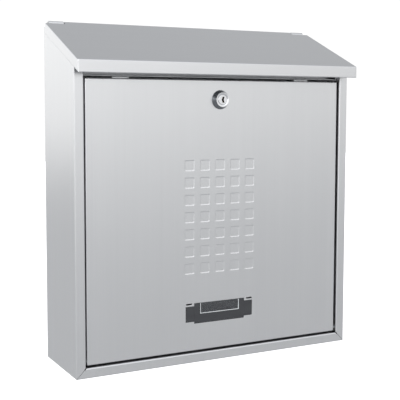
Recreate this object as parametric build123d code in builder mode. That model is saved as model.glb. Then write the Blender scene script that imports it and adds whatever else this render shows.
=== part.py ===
from build123d import *
import math
import os

# Wall-mounted letterbox of folded stainless sheet, in millimetres.
# X runs left to right seen from the front, Y runs from the front to the wall, Z is up.
# The origin is the centre of the four wall holes, on the back face that lies on the wall.

# ---- driving dimensions ----
casing_width = 360.0
casing_depth = 100.0
casing_bottom = -190.0          # underside of the casing, below the centre of the wall holes
side_top = 200.0                # where the side walls are cut off level, beside the hinge
frame_width = 11.6              # front flange that surrounds the door
frame_return = 10.0             # depth of the fold behind that flange
sheet = 0.8
back_sheet = 1.2
bend = 0.7                      # inside radius of the folds
hem = 1.9                       # thickness of a closed hem, two layers and the air between
hem_bend = 0.14
mitre_gap = 0.35
mitre_relief_length, mitre_relief_width, mitre_relief_inset = 3.2, 1.3, 0.6
back_flange = 12.0
weld_gap = 0.1                  # air between pieces that are spot-welded together

door_gap = 2.0
door_recess = 2.5
door_height = 316.0
door_flange = 12.0
door_pin_inset = 4.6            # hinge axis behind the door's face
door_pin_rise = 4.0             # hinge axis above the door's bottom edge
door_pin_radius = 1.75

lid_pitch = 23.2                # slope of the lid, degrees
lid_side_gap = 0.6
lid_overhang = 17.3
lid_clearance = 0.6             # air between the closed lid and the walls under it
lip_top = 158.0
lip_height = 13.6
lip_hem = 6.0
lid_plate_rear = -10.2          # the plate's corners end here, in front of the hinge ears
curl_opening = (0.1, 0.85)      # the hinge curl is open between these angles, in radians
rod_radius = 2.0
rod_end_proud = 0.8
ear_inner, ear_outer = 158.0, 176.0
ear_side_gap = 1.0
bumper_offset, bumper_radius, bumper_height = 120.0, 4.0, 0.7

rail_bottom = 141.4
rail_nose = -93.5
rail_web = -80.0
rail_air = 0.5                  # rail below the height where the casing stops under the lid
rail_tab_depth, rail_tab_height, rail_tab_rise = 12.0, 26.0, 14.0
stop_tab_offset, stop_tab_width, stop_tab_drop, stop_air = 120.0, 20.0, 8.0, 0.4
slot_rear = -45.0
slot_plate_drop = 8.0           # slot plate below the lid's underside
slot_lip = 15.0

square_size, square_pitch, square_depth = 12.0, 20.0, 1.1
square_corner, square_growth = 1.3, 0.4
square_columns, square_rows = 5, 7
squares_centre = -19.0

lock_height = 116.6
lock_base_radius, lock_face_radius, lock_proud = 11.1, 8.35, 6.0
barrel_radius, barrel_flats = 9.0, 16.0
barrel_rear = -80.2
thread_pitch, thread_depth = 1.5, 0.6
plug_radius = 5.8
plug_tail_side = 6.0
keyway_width, keyway_height, keyway_kink, keyway_depth, keyway_shift = 1.9, 6.4, 0.9, 15.0, -0.3
wafer_count, wafer_pitch, wafer_thickness = 5, 2.4, 0.8
wafer_width, wafer_height = 5.2, 9.4
washer_radius, washer_thickness, washer_teeth, washer_notch = 12.4, 0.9, 24, 0.7
nut_inradius, nut_thickness, nut_corner_radius, nut_face_radius = 11.0, 4.0, 12.7, 11.3
cam_front, cam_thickness, cam_reach, cam_width, cam_hub_radius = -79.4, 2.0, 35.0, 13.0, 8.0
cam_washer_radius, cam_washer_thickness = 5.5, 0.8
screw_radius, screw_length, screw_head_radius, screw_head_height = 1.5, 6.0, 3.5, 2.4
cross_span, cross_width, cross_depth = 4.0, 0.9, 1.3

window_height_centre = -132.3
window_width, window_height = 67.2, 24.2
wing_span, wing_height, wing_drop = 89.6, 18.4, 0.5
clip_slot_width, clip_slot_height, clip_slot_x, clip_slot_rise = 7.6, 1.4, 40.5, 11.35
holder_margin, holder_fit, holder_flange, holder_corner = 5.0, 0.2, 1.2, 3.0
holder_recess, wing_recess = 0.3, 0.5
pocket_width, pocket_height, pocket_rise, pocket_rim, pocket_recess = 53.4, 13.2, 0.9, 0.6, 0.4
cover_fit, cover_thickness = 0.15, 0.6

pin_head_radius, pin_head_thickness, pin_head_gap = 2.7, 1.2, 0.35
pin_tail_radius, pin_tail_thickness = 2.5, 1.0

hole_spacing_x, hole_spacing_z, hole_radius = 280.0, 240.0, 3.5

fixed_clearance = 0.02
running_clearance = 0.06
edge_break = 0.3                # chamfer on turned ends
through = 2.0                   # how far a cut runs past the face that it opens

# ---- derived positions ----
front = -casing_depth
half_width = casing_width / 2
inner_half = half_width - sheet
frame_inner = half_width - frame_width
frame_floor = casing_bottom + frame_width
pitch = math.radians(lid_pitch)
slope = math.tan(pitch)
lip_front = front - lid_overhang
lip_bottom = lip_top - lip_height

door_half = frame_inner - door_gap
door_bottom = frame_floor + door_gap
door_top = door_bottom + door_height
door_face = front + door_recess
door_inside = door_face + sheet
door_rear = door_face + door_flange
door_pin_y = door_face + door_pin_inset
door_pin_z = door_bottom + door_pin_rise

ear_radius = rod_radius + fixed_clearance + back_sheet
curl_bore = rod_radius + running_clearance
curl_radius = curl_bore + sheet
rod_y = -ear_radius


def lid_top(y):
    """Height of the lid's upper face at a depth."""
    return lip_top + slope * (y - lip_front)


def lid_underside(y):
    return lid_top(y) - sheet / math.cos(pitch)


def under_lid(y):
    """Height at which the casing parts stop below the closed lid."""
    return lid_underside(y) - lid_clearance


corner = bend + sheet            # outer radius of the folds

# The lid's plane touches its hinge curl from above, which sets the rod's height.
rod_z = lid_top(rod_y) - curl_radius / math.cos(pitch)
lid_half = half_width + lid_side_gap + sheet


def facing(y):
    """Upright plane at a depth, drawn on from the front: local x is X and local y is Z."""
    return Plane.XZ.offset(-y)


def fold_outline(points, thickness, inside=bend):
    """Outline of a folded sheet: the points run along one face and the sheet lies on their left."""
    corners = [Vector(*point) for point in points]
    normals = []
    for start, end in zip(corners, corners[1:]):
        along = (end - start).normalized()
        normals.append(Vector(-along.Y, along.X))
    shifted = [corners[0] + normals[0] * thickness]
    radii, shifted_radii = [], []
    for point, before, after in zip(corners[1:], normals, normals[1:]):
        shifted.append(point + (before + after) * (thickness / (1 + before.dot(after))))
        turns_left = before.cross(after).Z > 0
        radii.append(inside + thickness if turns_left else inside)
        shifted_radii.append(inside if turns_left else inside + thickness)
    shifted.append(corners[-1] + normals[-1] * thickness)
    with BuildSketch() as outline:
        with BuildLine():
            face_line = FilletPolyline(*corners, radius=radii)
            other_line = FilletPolyline(*shifted, radius=shifted_radii)
            Line(face_line @ 0, other_line @ 0)
            Line(face_line @ 1, other_line @ 1)
        make_face()
    return outline.sketch


os.makedirs("parts", exist_ok=True)

# ---- casing shell: side walls, floor and mitred front frame, folded from one sheet ----
wall_stub = 4.0                 # the frame profiles run this far into the walls
wall_start = front + wall_stub / 2
side_profile = fold_outline(
    [
        (-half_width, front + wall_stub),
        (-half_width, front),
        (-frame_inner, front),
        (-frame_inner, front + frame_return),
    ],
    sheet,
)
floor_profile = fold_outline(
    [
        (front + frame_return, frame_floor),
        (front, frame_floor),
        (front, casing_bottom),
        (front + wall_stub, casing_bottom),
    ],
    sheet,
)
wrap_profile = fold_outline(
    [
        (-half_width, side_top),
        (-half_width, casing_bottom),
        (half_width, casing_bottom),
        (half_width, side_top),
    ],
    sheet,
)
left_mitre = Plane(origin=(-half_width, 0, casing_bottom), x_dir=(0, 1, 0), z_dir=(-1, 0, 1))
right_mitre = Plane(origin=(half_width, 0, casing_bottom), x_dir=(0, 1, 0), z_dir=(1, 0, 1))
under_lid_plane = Plane(
    origin=(0, front, under_lid(front)), x_dir=(1, 0, 0), z_dir=(0, -math.sin(pitch), math.cos(pitch))
)

with BuildPart() as frame_side:
    with BuildSketch(Plane.XY.offset(casing_bottom)):
        add(side_profile)
    extrude(amount=side_top - casing_bottom)
    split(bisect_by=left_mitre, keep=Keep.TOP)

with BuildPart() as frame_bottom:
    with BuildSketch(Plane.YZ):
        add(floor_profile)
    extrude(amount=half_width, both=True)
    split(bisect_by=left_mitre, keep=Keep.BOTTOM)
    split(bisect_by=right_mitre, keep=Keep.BOTTOM)

with BuildPart() as casing_shell:
    add(frame_side.part)
    mirror(frame_side.part, about=Plane.YZ)
    add(frame_bottom.part)
    # The outer corners of the frame follow the round folds between the walls and the floor.
    for side in (-1, 1):
        with BuildSketch(facing(front)):
            with Locations((side * (half_width - corner / 2), casing_bottom + corner / 2)):
                Rectangle(corner, corner)
            with Locations((side * (half_width - corner), casing_bottom + corner)):
                Circle(corner, mode=Mode.SUBTRACT)
        extrude(amount=-casing_depth, mode=Mode.SUBTRACT)
    with BuildSketch(facing(wall_start)):
        add(wrap_profile)
    extrude(amount=wall_start)
    # Mitre slits, each with a small relief hole at the inner corner.
    for side in (-1, 1):
        slit_middle = (side * (frame_inner + frame_width / 2), frame_floor - frame_width / 2)
        relief_middle = (side * (frame_inner + mitre_relief_inset), frame_floor - mitre_relief_inset)
        with BuildSketch(facing(front - through)):
            with Locations(Location(slit_middle, 45 * -side)):
                Rectangle(frame_width * math.sqrt(2) - 2, mitre_gap)
            with Locations(Location(relief_middle, 45 * -side)):
                Rectangle(mitre_relief_length, mitre_relief_width)
        extrude(amount=-(frame_return + 2 * through), mode=Mode.SUBTRACT)
    split(bisect_by=under_lid_plane, keep=Keep.BOTTOM)
    # Holes for the door's hinge pins, in the folds behind the frame only.
    for side in (-1, 1):
        with Locations(Location((side * (frame_inner + sheet / 2), door_pin_y, door_pin_z), (0, 90, 0))):
            Cylinder(door_pin_radius + fixed_clearance, 2 * sheet, mode=Mode.SUBTRACT)
casing_shell.part.label = "casing_shell"

# ---- back panel: flat back with folded sides and floor, and two ears curled round the hinge rod ----
panel_half = inner_half - weld_gap
panel_bottom = casing_bottom + sheet + weld_gap
panel_top = rod_z - curl_radius - back_sheet
panel_notch = 4.0               # the side flanges are notched this much at their ends
panel_profile = fold_outline(
    [(panel_half, -back_flange), (panel_half, 0), (-panel_half, 0), (-panel_half, -back_flange)], back_sheet
)
panel_floor_profile = fold_outline(
    [(-back_flange, panel_bottom), (0, panel_bottom), (0, panel_bottom + back_flange)], back_sheet
)

with BuildPart() as back_panel:
    with BuildSketch(Plane.XY.offset(panel_bottom + panel_notch)):
        add(panel_profile)
    extrude(amount=side_top - panel_bottom - 2 * panel_notch)
    with BuildSketch(facing(0)):
        with Locations((0, panel_top)):
            Rectangle(
                2 * (panel_half - panel_notch), panel_top - panel_bottom - panel_notch,
                align=(Align.CENTER, Align.MAX),
            )
    extrude(amount=back_sheet)
    with BuildSketch(Plane.YZ):
        add(panel_floor_profile)
    extrude(amount=panel_half - panel_notch, both=True)
    for side in (-1, 1):
        with BuildSketch(Plane.YZ.offset(side * (ear_inner + ear_outer) / 2)):
            with Locations((rod_y, rod_z)):
                Circle(ear_radius)
                Rectangle(ear_radius, ear_radius, align=(Align.MIN, Align.MAX), mode=Mode.SUBTRACT)
            with Locations((-back_sheet, panel_top - panel_notch)):
                Rectangle(back_sheet, rod_z - panel_top + panel_notch, align=Align.MIN)
            with Locations((rod_y, rod_z)):
                Circle(rod_radius + fixed_clearance, mode=Mode.SUBTRACT)
        extrude(amount=(ear_outer - ear_inner) / 2, both=True)
    with BuildSketch(facing(through)):
        with GridLocations(hole_spacing_x, hole_spacing_z, 2, 2):
            Circle(hole_radius)
    extrude(amount=back_sheet + 2 * through, mode=Mode.SUBTRACT)
back_panel.part.label = "back_panel"

# ---- top rail: hemmed lower edge, web behind the lock cam, slope under the lid, two door stops ----
rail_front = front + 2 * sheet
rail_profile = fold_outline(
    [
        (rail_web, rail_bottom),
        (rail_web, under_lid(rail_web) - rail_air),
        (rail_front, under_lid(rail_front) - rail_air),
    ],
    sheet,
)
rail_foot_profile = fold_outline(
    [
        (rail_nose + lip_hem, rail_bottom + hem),
        (rail_nose, rail_bottom + hem),
        (rail_nose, rail_bottom),
        (rail_web - sheet, rail_bottom),
    ],
    sheet,
    hem_bend,
)
rail_half = inner_half - weld_gap

with BuildPart() as top_rail:
    with BuildSketch(Plane.YZ):
        add(rail_profile)
        add(rail_foot_profile)
        with Locations((rail_web - 2 * sheet, rail_bottom)):
            Rectangle(2 * sheet, sheet, align=Align.MIN)
    extrude(amount=rail_half, both=True)
    for side in (-1, 1):
        # Narrow in front, to pass between the folds of the frame.
        with Locations((side * half_width, front + frame_return / 2, rail_bottom)):
            Box(
                2 * (frame_width + rail_air), frame_return + 2 * rail_air, side_top - rail_bottom,
                align=(Align.CENTER, Align.CENTER, Align.MIN), mode=Mode.SUBTRACT,
            )
        # End tabs, welded to the side walls.
        with Locations((side * (rail_half - sheet / 2), rail_web - sheet, rail_bottom + rail_tab_rise)):
            Box(sheet, rail_tab_depth, rail_tab_height, align=(Align.CENTER, Align.MIN, Align.CENTER))
        # Door stops, behind the door's upper fold.
        with Locations((side * stop_tab_offset, door_rear + stop_air, rail_bottom + sheet)):
            Box(stop_tab_width, sheet, stop_tab_drop + sheet, align=(Align.CENTER, Align.MIN, Align.MAX))
top_rail.part.label = "top_rail"

# ---- slot plate: sloped plate behind the letter slot ----
plate_front_z = lid_underside(slot_rear) - slot_plate_drop
plate_rear = -back_sheet - weld_gap
plate_rear_z = lid_underside(plate_rear) - slot_plate_drop
slot_plate_profile = fold_outline(
    [
        (plate_rear, plate_rear_z - slot_lip),
        (plate_rear, plate_rear_z),
        (slot_rear, plate_front_z),
        (slot_rear, plate_front_z - slot_lip),
    ],
    sheet,
)

with BuildPart() as slot_plate:
    with BuildSketch(Plane.YZ):
        add(slot_plate_profile)
    extrude(amount=panel_half - back_sheet - ear_side_gap, both=True)
slot_plate.part.label = "slot_plate"

# ---- hinge rod of the lid, with slightly upset ends ----
with BuildPart() as lid_hinge_rod:
    with Locations(Location((0, rod_y, rod_z), (0, 90, 0))):
        Cylinder(rod_radius, 2 * (ear_outer + rod_end_proud))
    chamfer(lid_hinge_rod.edges().filter_by(GeomType.CIRCLE), edge_break)
lid_hinge_rod.part.label = "lid_hinge_rod"

# ---- lid bumpers: two soft discs that the closed lid rests on ----
bumper_y = (rail_web + front) / 2 + ear_side_gap
with BuildPart() as lid_bumpers:
    for side in (-1, 1):
        bumper_base = Plane(
            origin=(side * bumper_offset, bumper_y, under_lid(bumper_y) - rail_air),
            x_dir=(1, 0, 0),
            z_dir=(0, -math.sin(pitch), math.cos(pitch)),
        )
        with BuildSketch(bumper_base):
            Circle(bumper_radius)
        extrude(amount=bumper_height)
    chamfer(lid_bumpers.edges().filter_by(GeomType.CIRCLE).group_by(Axis.Z)[-1], edge_break)
lid_bumpers.part.label = "lid_bumpers"

# ---- lid: sloped plate with a hemmed lip, side skirts and a hinge curl between the ears ----
skirt_drop = lip_height * math.cos(pitch)
skirt_rear = (
    lid_plate_rear + skirt_drop * math.sin(pitch),
    lid_top(lid_plate_rear) - skirt_drop * math.cos(pitch),
)
with BuildPart() as lid:
    with BuildSketch(Plane.YZ):
        with BuildLine():
            Polyline(
                (lip_front, lip_bottom), (lip_front, lip_top), (lid_plate_rear, lid_top(lid_plate_rear)),
                skirt_rear, close=True,
            )
        make_face()
    extrude(amount=lid_half, both=True)
    # The folds at the front and at the sides are round; the lower and rear edges are cut.
    folded = lid.edges().filter_by(
        lambda edge: edge.center().Z > lip_bottom + 1 and edge.center().Y < lid_plate_rear - 1
    )
    fillet(folded, corner)
    hollow_front, hollow_rear, hollow_bottom = lip_front + sheet, casing_depth / 5, casing_bottom / 2
    with BuildSketch(Plane.YZ):
        with BuildLine():
            Polyline(
                (hollow_front, hollow_bottom),
                (hollow_front, lid_underside(hollow_front)),
                (hollow_rear, lid_underside(hollow_rear)),
                (hollow_rear, hollow_bottom),
                close=True,
            )
        make_face()
    extrude(amount=lid_half - sheet, both=True, mode=Mode.SUBTRACT)
    # The lip ends in a closed hem.
    with Locations((0, lip_front, lip_bottom)):
        Box(2 * (lid_half - corner), 2 * hem, hem, mode=Mode.SUBTRACT)
    with BuildSketch(Plane.YZ):
        add(
            fold_outline(
                [
                    (lip_front, lip_bottom + hem / 2 + hem_bend),
                    (lip_front, lip_bottom),
                    (lip_front + hem, lip_bottom),
                    (lip_front + hem, lip_bottom + lip_hem),
                ],
                sheet,
                hem_bend,
            )
        )
    extrude(amount=lid_half - corner - weld_gap, both=True)
    # The middle of the plate runs on into the curl.
    tangent_y = rod_y - curl_radius * math.sin(pitch)
    plate_end_y = lid_plate_rear - 1
    opening_reach = 2 * curl_radius
    with BuildSketch(Plane.YZ):
        with Locations((rod_y, rod_z)):
            Circle(curl_radius)
            Circle(curl_bore, mode=Mode.SUBTRACT)
        with BuildLine():
            Polyline(
                (rod_y, rod_z),
                *[
                    (rod_y - opening_reach * math.cos(angle), rod_z + opening_reach * math.sin(angle))
                    for angle in curl_opening
                ],
                close=True,
            )
        make_face(mode=Mode.SUBTRACT)
        with BuildLine():
            Polyline(
                (plate_end_y, lid_top(plate_end_y)),
                (tangent_y, lid_top(tangent_y)),
                (tangent_y + sheet * math.sin(pitch), lid_top(tangent_y) - sheet * math.cos(pitch)),
                (plate_end_y + sheet * math.sin(pitch), lid_top(plate_end_y) - sheet * math.cos(pitch)),
                close=True,
            )
        make_face()
    extrude(amount=ear_inner - ear_side_gap, both=True)
lid.part.label = "lid"

# ---- door: shallow pan with pressed squares, lock hole, name plate window and hinge holes ----
with BuildPart() as door:
    with BuildSketch(facing(door_rear)):
        with Locations((0, (door_bottom + door_top) / 2)):
            RectangleRounded(2 * door_half, door_height, corner)
    extrude(amount=door_flange)
    fillet(door.faces().sort_by(Axis.Y)[0].edges(), corner - weld_gap)
    with BuildSketch(facing(door_rear)):
        with Locations((0, (door_bottom + door_top) / 2)):
            RectangleRounded(2 * (door_half - sheet), door_height - 2 * sheet, bend)
    extrude(amount=door_flange - sheet, mode=Mode.SUBTRACT)
    # Pressed squares: a boss inside and a hollow outside, so that the sheet keeps its thickness.
    with BuildSketch(facing(door_inside)):
        with Locations((0, squares_centre)):
            with GridLocations(square_pitch, square_pitch, square_columns, square_rows):
                RectangleRounded(square_size + square_growth, square_size + square_growth, square_corner)
    extrude(amount=-square_depth, taper=45)
    with BuildSketch(facing(door_face)):
        with Locations((0, squares_centre)):
            with GridLocations(square_pitch, square_pitch, square_columns, square_rows):
                RectangleRounded(square_size, square_size, square_corner)
    extrude(amount=-square_depth, taper=45, mode=Mode.SUBTRACT)
    # Openings through the face.
    with BuildSketch(facing(door_face - through)):
        with Locations((0, lock_height)):
            Circle(barrel_radius + running_clearance)
            Rectangle(4 * barrel_radius, barrel_flats + 2 * running_clearance, mode=Mode.INTERSECT)
        with Locations((0, window_height_centre)):
            Rectangle(window_width, window_height)
        with Locations((0, window_height_centre - wing_drop)):
            Rectangle(wing_span, wing_height)
        with Locations((-clip_slot_x, window_height_centre + clip_slot_rise),
                       (clip_slot_x, window_height_centre + clip_slot_rise)):
            Rectangle(clip_slot_width, clip_slot_height)
    extrude(amount=-(sheet + 2 * through), mode=Mode.SUBTRACT)
    for side in (-1, 1):
        with Locations(Location((side * (door_half - sheet / 2), door_pin_y, door_pin_z), (0, 90, 0))):
            Cylinder(door_pin_radius + running_clearance, 2 * sheet, mode=Mode.SUBTRACT)
door.part.label = "door"

# ---- door hinge pins: headed rivets set in the folds of the frame ----
pin_head_inner = door_half - sheet - pin_head_gap - pin_head_thickness
pin_tail = frame_inner + sheet + fixed_clearance


def hinge_pin(side):
    """Rivet along X: head inside the door, shank through door and frame, tail behind the frame."""
    with BuildPart() as pin:
        for start, length, radius in (
            (pin_head_inner, pin_head_thickness, pin_head_radius),
            (pin_head_inner, pin_tail - pin_head_inner, door_pin_radius),
            (pin_tail, pin_tail_thickness, pin_tail_radius),
        ):
            with BuildSketch(Plane.YZ.offset(side * start)):
                with Locations((door_pin_y, door_pin_z)):
                    Circle(radius)
            extrude(amount=side * length)
        ends = pin.faces().sort_by(Axis.X)
        chamfer(ends[0].edges() + ends[-1].edges(), edge_break)
    return pin.part


with BuildPart() as door_hinge_pin_left:
    add(hinge_pin(-1))
door_hinge_pin_left.part.label = "door_hinge_pin_left"

with BuildPart() as door_hinge_pin_right:
    add(hinge_pin(1))
door_hinge_pin_right.part.label = "door_hinge_pin_right"

# ---- lock: conical head and threaded barrel with two flats ----
head_front = door_face - lock_proud
face_round = 0.5                # bevels at the edges of the lock's face


def turned(profile):
    """Solid of revolution about the lock's axis, from (radius, depth) points."""
    with BuildPart() as body:
        with BuildSketch(Plane.XY.offset(lock_height)):
            with BuildLine():
                Polyline(*profile, close=True)
            make_face()
        revolve(axis=Axis((0, 0, lock_height), (0, 1, 0)))
    return body.part


plug_bore = plug_radius + running_clearance
thread_start = door_inside + face_round
head_profile = [
    (plug_bore, barrel_rear), (plug_bore, head_front + face_round), (plug_bore + 2 * face_round, head_front),
    (lock_face_radius - face_round, head_front), (lock_face_radius, head_front + face_round),
    (lock_base_radius, door_face - 2 * face_round), (lock_base_radius, door_face),
    (barrel_radius, door_face), (barrel_radius, thread_start),
]
thread_count = int((barrel_rear - thread_start - 2 * face_round) / thread_pitch)
for ring in range(thread_count):
    ring_start = thread_start + ring * thread_pitch
    head_profile += [
        (barrel_radius, ring_start + thread_pitch / 5),
        (barrel_radius - thread_depth, ring_start + thread_pitch / 2),
        (barrel_radius, ring_start + thread_pitch * 4 / 5),
    ]
head_profile += [(barrel_radius, barrel_rear - thread_depth), (barrel_radius - thread_depth, barrel_rear)]

with BuildPart() as lock_body:
    add(turned(head_profile))
    for side in (-1, 1):
        with Locations((0, (door_face + barrel_rear) / 2, lock_height + side * barrel_flats)):
            Box(2 * barrel_radius, barrel_rear - door_face, barrel_flats, mode=Mode.SUBTRACT)
lock_body.part.label = "lock_body"

# ---- lock plug: turning core with a kinked keyway, wafer slots and a square tail ----
first_wafer = head_front + 4.0
plug_front = head_front + 0.2
plug_rear = barrel_rear + 0.3
tail_rear = cam_front + cam_thickness - 0.1
screw_seat = cam_front + cam_thickness + cam_washer_thickness + 2 * fixed_clearance

with BuildPart() as lock_plug:
    add(turned([
        (0, plug_front), (plug_radius - face_round, plug_front), (plug_radius, plug_front + face_round),
        (plug_radius, plug_rear), (0, plug_rear),
    ]))
    with Locations((0, (plug_rear + tail_rear) / 2, lock_height)):
        Box(plug_tail_side, tail_rear - plug_rear, plug_tail_side)
    with BuildSketch(facing(plug_front - through)):
        with Locations((0, lock_height)):
            with BuildLine():
                Polyline(
                    (keyway_shift, keyway_height / 2),
                    (keyway_shift - keyway_kink, 0),
                    (keyway_shift, -keyway_height / 2),
                    (keyway_shift + keyway_width, -keyway_height / 2),
                    (keyway_shift + keyway_width - keyway_kink, 0),
                    (keyway_shift + keyway_width, keyway_height / 2),
                    close=True,
                )
            make_face()
    extrude(amount=-(keyway_depth + through), mode=Mode.SUBTRACT)
    for wafer in range(wafer_count):
        with Locations((0, first_wafer + wafer * wafer_pitch, lock_height)):
            Box(wafer_width + 0.2, wafer_thickness + 0.1, wafer_height + 0.2, mode=Mode.SUBTRACT)
    with BuildSketch(facing(screw_seat)):
        with Locations((0, lock_height)):
            Circle(screw_radius + fixed_clearance)
    extrude(amount=screw_length + 0.2, mode=Mode.SUBTRACT)
lock_plug.part.label = "lock_plug"

# ---- wafers, drawn level with the plug as a key holds them ----
with BuildPart() as lock_wafers:
    for wafer in range(wafer_count):
        with BuildSketch(facing(first_wafer + wafer * wafer_pitch + wafer_thickness / 2)):
            with Locations((0, lock_height)):
                Rectangle(wafer_width, wafer_height)
            with Locations((0, lock_height + wafer_thickness / 2 * (wafer % 3 - 1))):
                Rectangle(wafer_width / 2, keyway_height, mode=Mode.SUBTRACT)
        extrude(amount=wafer_thickness)
lock_wafers.part.label = "lock_wafers"

# ---- washer and hexagon nut that hold the lock in the door ----
washer_rear = door_inside + fixed_clearance + washer_thickness
with BuildPart() as lock_washer:
    with BuildSketch(facing(washer_rear)):
        with Locations((0, lock_height)):
            Circle(washer_radius)
            with PolarLocations(washer_radius, washer_teeth):
                Circle(washer_notch, mode=Mode.SUBTRACT)
            Circle(barrel_radius + running_clearance, mode=Mode.SUBTRACT)
    extrude(amount=washer_thickness)
lock_washer.part.label = "lock_washer"

nut_front = washer_rear + fixed_clearance
nut_rear = nut_front + nut_thickness
nut_slope = nut_thickness / 5
with BuildPart() as lock_nut:
    with BuildSketch(facing(nut_rear)):
        with Locations((0, lock_height)):
            RegularPolygon(nut_inradius, 6, major_radius=False)
    extrude(amount=nut_thickness)
    # Only the corners are rounded off, as on any turned nut.
    add(
        turned([
            (0, nut_front), (nut_face_radius, nut_front), (nut_corner_radius, nut_front + nut_slope),
            (nut_corner_radius, nut_rear - nut_slope), (nut_face_radius, nut_rear), (0, nut_rear),
        ]),
        mode=Mode.INTERSECT,
    )
    with BuildSketch(facing(nut_rear + through)):
        with Locations((0, lock_height)):
            Circle(barrel_radius + running_clearance)
    extrude(amount=nut_thickness + 2 * through, mode=Mode.SUBTRACT)
lock_nut.part.label = "lock_nut"

# ---- cam on the plug's square tail, level while unlocked ----
with BuildPart() as lock_cam:
    with BuildSketch(facing(cam_front + cam_thickness)):
        with Locations((0, lock_height)):
            Circle(cam_hub_radius)
            with Locations((cam_reach / 2, 0)):
                RectangleRounded(cam_reach, cam_width, cam_width / 5)
            Rectangle(
                plug_tail_side + 2 * fixed_clearance, plug_tail_side + 2 * fixed_clearance, mode=Mode.SUBTRACT
            )
    extrude(amount=cam_thickness)
lock_cam.part.label = "lock_cam"

# ---- washer and cross-head screw that hold the cam ----
with BuildPart() as cam_washer:
    with BuildSketch(facing(screw_seat - fixed_clearance)):
        with Locations((0, lock_height)):
            Circle(cam_washer_radius)
            Circle(screw_radius + 3 * running_clearance, mode=Mode.SUBTRACT)
    extrude(amount=cam_washer_thickness)
    chamfer(cam_washer.faces().sort_by(Axis.Y)[-1].edges().sort_by(SortBy.LENGTH)[-1], edge_break)
cam_washer.part.label = "cam_washer"

screw_tip, screw_top = screw_seat - screw_length, screw_seat + screw_head_height
with BuildPart() as cam_screw:
    add(
        turned([
            (0, screw_tip), (screw_radius - edge_break, screw_tip), (screw_radius, screw_tip + edge_break),
            (screw_radius, screw_seat), (screw_head_radius, screw_seat), (screw_head_radius, screw_top - 1),
            (screw_head_radius - 0.8, screw_top - 0.2), (0, screw_top),
        ])
    )
    with BuildSketch(facing(screw_top + through)):
        with Locations((0, lock_height)):
            Rectangle(cross_span, cross_width)
            Rectangle(cross_width, cross_span)
    extrude(amount=cross_depth + through, mode=Mode.SUBTRACT)
cam_screw.part.label = "cam_screw"

# ---- name plate holder: flange behind the door, stepped body in the window, open-topped card pocket ----
holder_face = door_face + holder_recess
window_top = window_height_centre + window_height / 2
pocket_floor = door_face + pocket_recess
flange_front = door_inside + 2 * fixed_clearance
holder_rear = flange_front + holder_flange
body_root = flange_front + holder_flange / 4

with BuildPart() as nameplate_holder:
    with BuildSketch(facing(holder_rear)):
        with Locations((0, window_height_centre)):
            RectangleRounded(wing_span + 2 * holder_margin, window_height + 2 * holder_margin, holder_corner)
        with Locations((-clip_slot_x, window_height_centre + clip_slot_rise),
                       (clip_slot_x, window_height_centre + clip_slot_rise)):
            Rectangle(clip_slot_width + holder_fit, clip_slot_height + holder_fit, mode=Mode.SUBTRACT)
    extrude(amount=holder_flange)
    with BuildSketch(facing(body_root)):
        with Locations((0, window_height_centre)):
            Rectangle(window_width - 2 * holder_fit, window_height - 2 * holder_fit)
    extrude(amount=body_root - holder_face)
    with BuildSketch(facing(body_root)):
        with Locations((0, window_height_centre - wing_drop)):
            Rectangle(wing_span - 2 * holder_fit, wing_height - 2 * holder_fit)
    extrude(amount=body_root - door_face - wing_recess)
    # Sloped surround, lower at the window's edge and level with the pocket's rim.
    with BuildSketch(facing(holder_face)):
        with Locations((0, window_height_centre)):
            Rectangle(window_width - 2 * holder_fit, window_height - 2 * holder_fit)
    with BuildSketch(facing(holder_face - pocket_rise)):
        with Locations((0, window_top - holder_fit)):
            Rectangle(pocket_width, pocket_height, align=(Align.CENTER, Align.MAX))
    loft()
    # Card pocket, open at the top.
    with BuildSketch(facing(pocket_floor)):
        with Locations((0, window_top - holder_fit - pocket_height + pocket_rim)):
            Rectangle(
                pocket_width - 2 * pocket_rim, pocket_height, align=(Align.CENTER, Align.MIN)
            )
    extrude(amount=pocket_rise + through, mode=Mode.SUBTRACT)
nameplate_holder.part.label = "nameplate_holder"

# ---- clear cover that slides into the pocket from above ----
with BuildPart() as nameplate_cover:
    with BuildSketch(facing(pocket_floor - fixed_clearance)):
        with Locations((0, window_top - holder_fit - pocket_height + pocket_rim + cover_fit)):
            Rectangle(
                pocket_width - 2 * (pocket_rim + cover_fit), pocket_height - pocket_rim - 2 * cover_fit,
                align=(Align.CENTER, Align.MIN),
            )
    extrude(amount=cover_thickness)
nameplate_cover.part.label = "nameplate_cover"

pieces = [
    casing_shell, back_panel, top_rail, slot_plate, lid_hinge_rod, lid_bumpers, lid,
    door, door_hinge_pin_left, door_hinge_pin_right,
    lock_body, lock_plug, lock_wafers, lock_washer, lock_nut, lock_cam, cam_washer, cam_screw,
    nameplate_holder, nameplate_cover,
]
for piece in pieces:
    export_step(piece.part, f"parts/{piece.part.label}.step")
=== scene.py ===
import math
from contextlib import contextmanager

import bmesh
import bpy
from bpy.props import FloatProperty, FloatVectorProperty, IntProperty, PointerProperty
from mathutils import Matrix, Vector


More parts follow.
